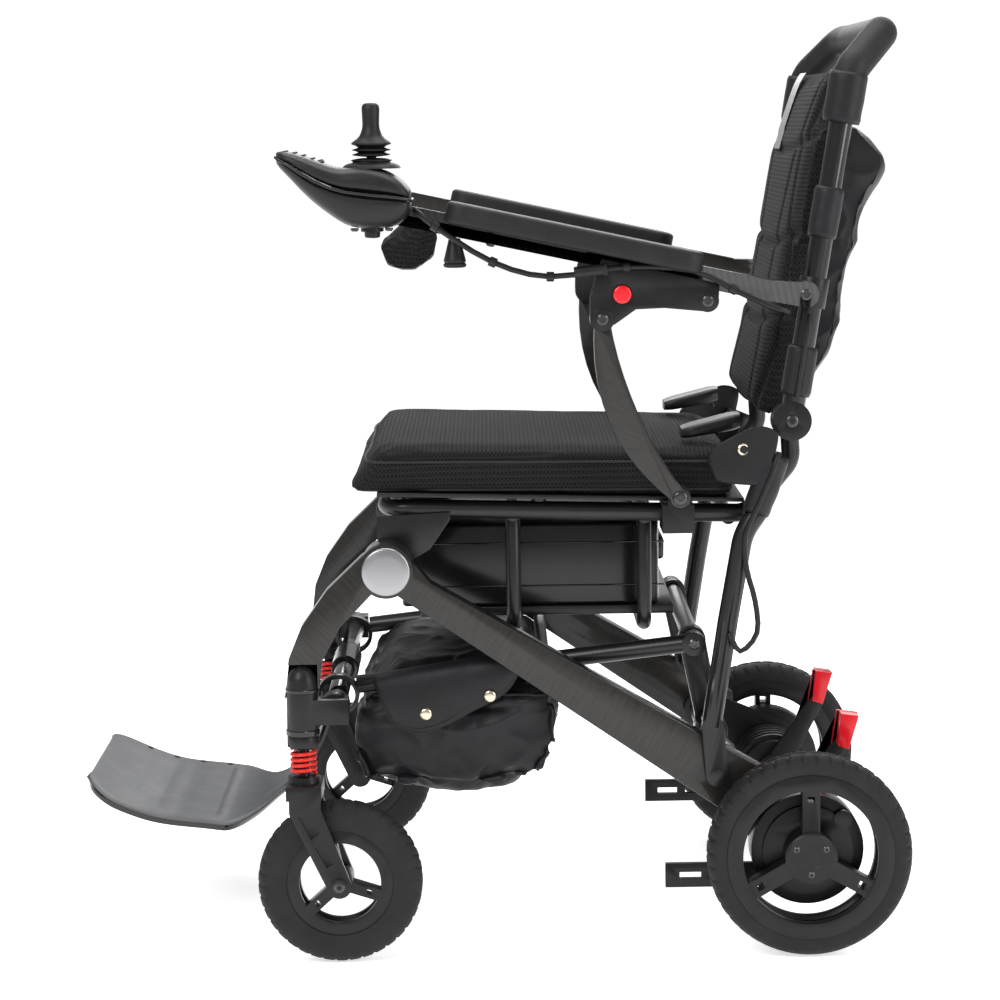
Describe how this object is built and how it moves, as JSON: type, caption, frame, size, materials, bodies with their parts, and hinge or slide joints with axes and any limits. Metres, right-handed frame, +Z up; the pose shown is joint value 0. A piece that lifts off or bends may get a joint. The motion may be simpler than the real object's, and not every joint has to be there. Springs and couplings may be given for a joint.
{
  "type": "power wheelchair",
  "caption": "Folding power wheelchair with carbon side beams, mesh seat and back, joystick armrest, sprung front castors and two drive wheels.",
  "frame": {"origin": "on the floor at the middle of the chair's footprint", "axes": "+X to the rear, +Y to the sitting person's right, +Z up"},
  "size_m": [0.9089, 0.582, 1.004],
  "materials": {
    "carbon": "clear-coated carbon fibre",
    "black_tube": "satin black powder coat",
    "black_cast": "semi-gloss black casting",
    "silver": "satin silver",
    "black_plastic": "moulded",
    "soft_grip": "closed-cell foam",
    "red": "gloss red",
    "spring_red": "red coated spring steel",
    "mesh_fabric": "black ribbed spacer mesh",
    "nylon": "black nylon",
    "tyre": "black rubber",
    "footplate": "grey coated top",
    "cable": "black jacket",
    "battery": "black case",
    "gimbal": "grey"
  },
  "bodies": {
    "chassis": {"side_beams": "carbon", "rear_crossmember": "black_tube", "axle_plates": "black_cast", "motors": "black_cast", "gearboxes": "black_cast", "rear_posts": "black_tube", "seat_frame": "black_tube", "seat_pan": "black_plastic", "seat_cushion": "mesh_fabric", "battery_pack": "battery", "battery_cradle": "black_tube", "arm_clamps": "black_cast", "cable_frame": "cable"},
    "front_section": {"front_arms": "carbon", "hub_caps": "silver", "castor_columns": "black_cast", "front_crossbar": "black_tube"},
    "footrest": {"footplate": "footplate"},
    "rear_struts": {"link_struts": "black_tube"},
    "lower_section": {"lower_frame": "black_tube", "under_bag": "nylon"},
    "backrest": {"back_frame": "black_tube", "push_grip": "soft_grip", "back_pad": "mesh_fabric", "back_bag": "nylon", "back_knuckles": "black_cast", "arm_pivots": "black_cast", "cable_back": "cable"},
    "armrests": {"arm_beams": "carbon", "arm_pads": "black_plastic", "arm_brackets": "black_cast", "controller_base": "black_plastic", "controller_top": "black_plastic", "joystick_boot": "black_plastic", "clamp_knob": "black_plastic", "mesh_pouch": "mesh_fabric", "cable_arm": "cable"},
    "arm_links": {"arm_supports": "carbon"},
    "stick_gimbal": {"joystick_gimbal": "gimbal"},
    "stick": {"joystick": "black_plastic"},
    "power": {"power_button": "black_plastic"},
    "swivel_left": {"castor_stem_left": "black_cast"},
    "fork_left": {"castor_fork_left": "black_cast", "castor_spring_left": "spring_red"},
    "castor_left": {"castor_rim_left": "black_cast", "castor_tyre_left": "tyre"},
    "drive_wheel_left": {"rear_rim_left": "black_cast", "rear_tyre_left": "tyre"},
    "brake_left": {"brake_lever_left": "red"},
    "button_left": {"release_button_left": "red"},
    "swivel_right": {"castor_stem_right": "black_cast"},
    "fork_right": {"castor_fork_right": "black_cast", "castor_spring_right": "spring_red"},
    "castor_right": {"castor_rim_right": "black_cast", "castor_tyre_right": "tyre"},
    "drive_wheel_right": {"rear_rim_right": "black_cast", "rear_tyre_right": "tyre"},
    "brake_right": {"brake_lever_right": "red"},
    "button_right": {"release_button_right": "red"}
  },
  "joints": [
    {"name": "back_fold", "type": "hinge", "parent": "chassis", "child": "backrest", "pos_m": [0.3275, 0, 0.576], "axis": [0, -1, 0], "range_deg": [0, 60]},
    {"name": "arm_level", "type": "hinge", "parent": "backrest", "child": "armrests", "pos_m": [0.3395, 0, 0.713], "axis": [0, -1, 0], "range_deg": [-45.06, 0]},
    {"name": "arm_link_fold", "type": "hinge", "parent": "chassis", "child": "arm_links", "pos_m": [0.206, 0, 0.498], "axis": [0, -1, 0], "range_deg": [0, 44.68]},
    {"name": "front_fold", "type": "hinge", "parent": "chassis", "child": "front_section", "pos_m": [-0.1085, 0, 0.425], "axis": [0, -1, 0], "range_deg": [0, 20]},
    {"name": "strut_fold", "type": "hinge", "parent": "chassis", "child": "rear_struts", "pos_m": [0.24, 0, 0.246], "axis": [0, -1, 0], "range_deg": [-36.48, 0]},
    {"name": "lower_fold", "type": "hinge", "parent": "rear_struts", "child": "lower_section", "pos_m": [0.2235, 0, 0.33], "axis": [0, -1, 0], "range_deg": [0, 37.07]},
    {"name": "footplate_flip", "type": "hinge", "parent": "front_section", "child": "footrest", "pos_m": [-0.1655, 0, 0.278], "axis": [0, 1, 0], "range_deg": [0, 60]},
    {"name": "stick_forward", "type": "hinge", "parent": "armrests", "child": "stick_gimbal", "pos_m": [-0.1155, -0.25, 0.838], "axis": [0, 1, 0], "range_deg": [-7, 7], "stiffness_Nm_per_rad": 0.4},
    {"name": "stick_sideways", "type": "hinge", "parent": "stick_gimbal", "child": "stick", "pos_m": [-0.1155, -0.25, 0.838], "axis": [1, 0, 0], "range_deg": [-7, 7], "stiffness_Nm_per_rad": 0.4},
    {"name": "power_press", "type": "slide", "parent": "armrests", "child": "power", "axis": [0, 0, -1], "range_m": [0, 0.0015], "stiffness_N_per_m": 800, "springref_m": -0.001},
    {"name": "castor_swivel_left", "type": "hinge", "parent": "front_section", "child": "swivel_left", "pos_m": [-0.2005, -0.258, 0.25], "axis": [0, 0, 1], "continuous": true},
    {"name": "castor_spring_travel_left", "type": "slide", "parent": "swivel_left", "child": "fork_left", "axis": [0, 0, 1], "range_m": [0, 0.012], "stiffness_N_per_m": 12000, "springref_m": -0.012, "deforming": ["castor_spring_left"]},
    {"name": "castor_roll_left", "type": "hinge", "parent": "fork_left", "child": "castor_left", "pos_m": [-0.1635, -0.258, 0.089], "axis": [0, 1, 0], "continuous": true},
    {"name": "drive_wheel_roll_left", "type": "hinge", "parent": "chassis", "child": "drive_wheel_left", "pos_m": [0.3425, -0.258, 0.111], "axis": [0, 1, 0], "continuous": true},
    {"name": "brake_release_left", "type": "hinge", "parent": "chassis", "child": "brake_left", "pos_m": [0.3425, -0.12, 0.111], "axis": [0, 1, 0], "range_deg": [0, 35]},
    {"name": "release_press_left", "type": "slide", "parent": "armrests", "child": "button_left", "axis": [0, 1, 0], "range_m": [0, 0.004], "stiffness_N_per_m": 400, "springref_m": -0.003},
    {"name": "castor_swivel_right", "type": "hinge", "parent": "front_section", "child": "swivel_right", "pos_m": [-0.2005, 0.258, 0.25], "axis": [0, 0, 1], "continuous": true},
    {"name": "castor_spring_travel_right", "type": "slide", "parent": "swivel_right", "child": "fork_right", "axis": [0, 0, 1], "range_m": [0, 0.012], "stiffness_N_per_m": 12000, "springref_m": -0.012, "deforming": ["castor_spring_right"]},
    {"name": "castor_roll_right", "type": "hinge", "parent": "fork_right", "child": "castor_right", "pos_m": [-0.1635, 0.258, 0.089], "axis": [0, 1, 0], "continuous": true},
    {"name": "drive_wheel_roll_right", "type": "hinge", "parent": "chassis", "child": "drive_wheel_right", "pos_m": [0.3425, 0.258, 0.111], "axis": [0, 1, 0], "continuous": true},
    {"name": "brake_release_right", "type": "hinge", "parent": "chassis", "child": "brake_right", "pos_m": [0.3425, 0.12, 0.111], "axis": [0, 1, 0], "range_deg": [0, 35]},
    {"name": "release_press_right", "type": "slide", "parent": "armrests", "child": "button_right", "axis": [0, -1, 0], "range_m": [0, 0.004], "stiffness_N_per_m": 400, "springref_m": -0.003}
  ],
  "couplings": [
    {"joint": "arm_level", "follows": "back_fold", "ratio": -0.751},
    {"joint": "arm_link_fold", "follows": "back_fold", "ratio": 0.7446},
    {"joint": "strut_fold", "follows": "front_fold", "ratio": -1.8235},
    {"joint": "lower_fold", "follows": "front_fold", "ratio": 1.8529}
  ]
}
